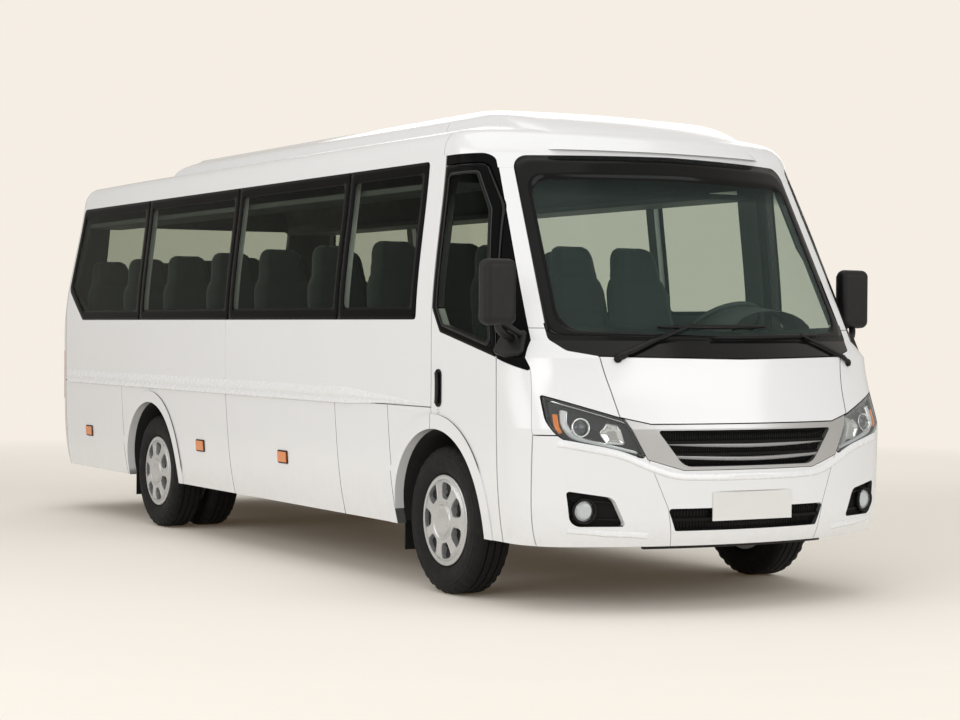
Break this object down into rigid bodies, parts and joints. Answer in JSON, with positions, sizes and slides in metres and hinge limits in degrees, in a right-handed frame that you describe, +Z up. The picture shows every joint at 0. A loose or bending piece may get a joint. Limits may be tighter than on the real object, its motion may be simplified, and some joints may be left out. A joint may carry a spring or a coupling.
{
  "type": "minibus",
  "caption": "White single-deck minibus with hinged front doors, boot lid, steered front wheels and twin rear wheels, hollow cabin with seats.",
  "frame": {"origin": "on the ground below the middle of the body", "axes": "-Y forwards, -X to the vehicle's right, +Z up"},
  "size_m": [2.645, 7.4709, 2.608],
  "materials": {
    "white_paint": "gloss white paint",
    "tinted_glass": "dark tinted glass",
    "windscreen_glass": "clear laminated glass",
    "amber_lens": "moulded amber lens",
    "black_plastic": "textured black plastic",
    "satin_silver": "satin silver",
    "lamp_glass": "clear lens over a dark bowl",
    "plate_white": "blank plate",
    "red_lens": "moulded red lens",
    "black_rubber": "soft black rubber",
    "chassis_paint": "black chassis paint",
    "cast_metal": "painted castings",
    "bare_steel": "dull steel",
    "tank_plastic": "moulded tank",
    "floor_covering": "studded floor covering",
    "cabin_plastic": "grained cabin plastic",
    "seat_cloth": "dark grey woven cloth",
    "wheel_silver": "silver wheel cover paint",
    "tyre_rubber": "tyre rubber"
  },
  "bodies": {
    "root": {"roof": "white_paint", "roof_pod": "white_paint", "side_windows": "tinted_glass", "side_wall_right": "white_paint", "side_wall_left": "white_paint", "skirts": "white_paint", "side_markers": "amber_lens", "windscreen": "windscreen_glass", "front_cap": "white_paint", "cowl": "black_plastic", "bonnet_panel": "white_paint", "grille_surround": "satin_silver", "headlamps": "lamp_glass", "front_bumper": "white_paint", "front_plate": "plate_white", "fog_lamps": "black_plastic", "front_sails": "black_plastic", "front_corners": "white_paint", "grilles": "black_plastic", "rear_window": "tinted_glass", "tail_lamps": "red_lens", "rear_bumper": "white_paint", "rear_panel": "white_paint", "door_frames": "black_rubber", "front_frame": "chassis_paint", "floor": "floor_covering", "wheel_housings": "black_plastic", "chassis_frame": "chassis_paint", "springs": "chassis_paint", "front_axle": "cast_metal", "rear_axle": "cast_metal", "engine_block": "cast_metal", "propeller_shaft": "bare_steel", "fuel_tank": "tank_plastic", "exhaust": "bare_steel", "mud_flaps": "black_rubber", "dashboard": "cabin_plastic", "passenger_seats": "seat_cloth", "front_seats": "seat_cloth", "luggage_racks": "cabin_plastic", "mirror_right": "black_plastic", "wipers": "black_plastic"},
    "door_right": {"front_door_right": "white_paint", "door_glass_right": "tinted_glass"},
    "door_left": {"front_door_left": "white_paint", "door_glass_left": "tinted_glass", "mirror_left": "black_plastic"},
    "boot_lid": {"boot_lid": "white_paint"},
    "steering_wheel": {"steering_wheel": "cabin_plastic"},
    "knuckle_right": {"knuckle_right": "cast_metal"},
    "knuckle_left": {"knuckle_left": "cast_metal"},
    "track_rod": {"track_rod": "chassis_paint"},
    "front_wheel_right": {"front_wheel_right": "wheel_silver", "front_tyre_right": "tyre_rubber"},
    "front_wheel_left": {"front_wheel_left": "wheel_silver", "front_tyre_left": "tyre_rubber"},
    "rear_wheels_right": {"rear_wheel_right": "wheel_silver", "rear_tyres_right": "tyre_rubber"},
    "rear_wheels_left": {"rear_wheel_left": "wheel_silver", "rear_tyres_left": "tyre_rubber"}
  },
  "joints": [
    {"name": "steer", "type": "hinge", "parent": "root", "child": "knuckle_right", "pos_m": [-0.85, -2.489, 0.3835], "axis": [0, 0, 1], "range_deg": [-32, 32]},
    {"name": "steer_left", "type": "hinge", "parent": "root", "child": "knuckle_left", "pos_m": [0.85, -2.489, 0.3835], "axis": [0, 0, 1], "range_deg": [-33, 33]},
    {"name": "rod_turn", "type": "hinge", "parent": "knuckle_right", "child": "track_rod", "pos_m": [-0.837, -2.338, 0.28], "axis": [0, 0, 1], "range_deg": [-33, 33]},
    {"name": "steering_wheel_turn", "type": "hinge", "parent": "root", "child": "steering_wheel", "pos_m": [0.45, -2.865, 1.405], "axis": [0, 0.5736, 0.8192], "range_deg": [-520, 520]},
    {"name": "door_right_open", "type": "hinge", "parent": "root", "child": "door_right", "pos_m": [-1.087, -3.265, 1.2], "axis": [0, 0, 1], "range_deg": [0, 65]},
    {"name": "door_left_open", "type": "hinge", "parent": "root", "child": "door_left", "pos_m": [1.087, -3.265, 1.2], "axis": [0, 0, -1], "range_deg": [0, 65]},
    {"name": "boot_lid_open", "type": "hinge", "parent": "root", "child": "boot_lid", "pos_m": [0, 3.735, 1.372], "axis": [1, 0, 0], "range_deg": [0, 85]},
    {"name": "front_wheel_right_spin", "type": "hinge", "parent": "knuckle_right", "child": "front_wheel_right", "pos_m": [-0.96, -2.489, 0.3835], "axis": [1, 0, 0], "continuous": true},
    {"name": "front_wheel_left_spin", "type": "hinge", "parent": "knuckle_left", "child": "front_wheel_left", "pos_m": [0.96, -2.489, 0.3835], "axis": [1, 0, 0], "continuous": true},
    {"name": "rear_wheels_right_spin", "type": "hinge", "parent": "root", "child": "rear_wheels_right", "pos_m": [-0.83, 1.642, 0.3835], "axis": [1, 0, 0], "continuous": true},
    {"name": "rear_wheels_left_spin", "type": "hinge", "parent": "root", "child": "rear_wheels_left", "pos_m": [0.83, 1.642, 0.3835], "axis": [1, 0, 0], "continuous": true}
  ],
  "couplings": [
    {"joint": "steer_left", "follows": "steer", "ratio": 1},
    {"joint": "rod_turn", "follows": "steer", "ratio": -1},
    {"joint": "steering_wheel_turn", "follows": "steer", "ratio": 16}
  ]
}
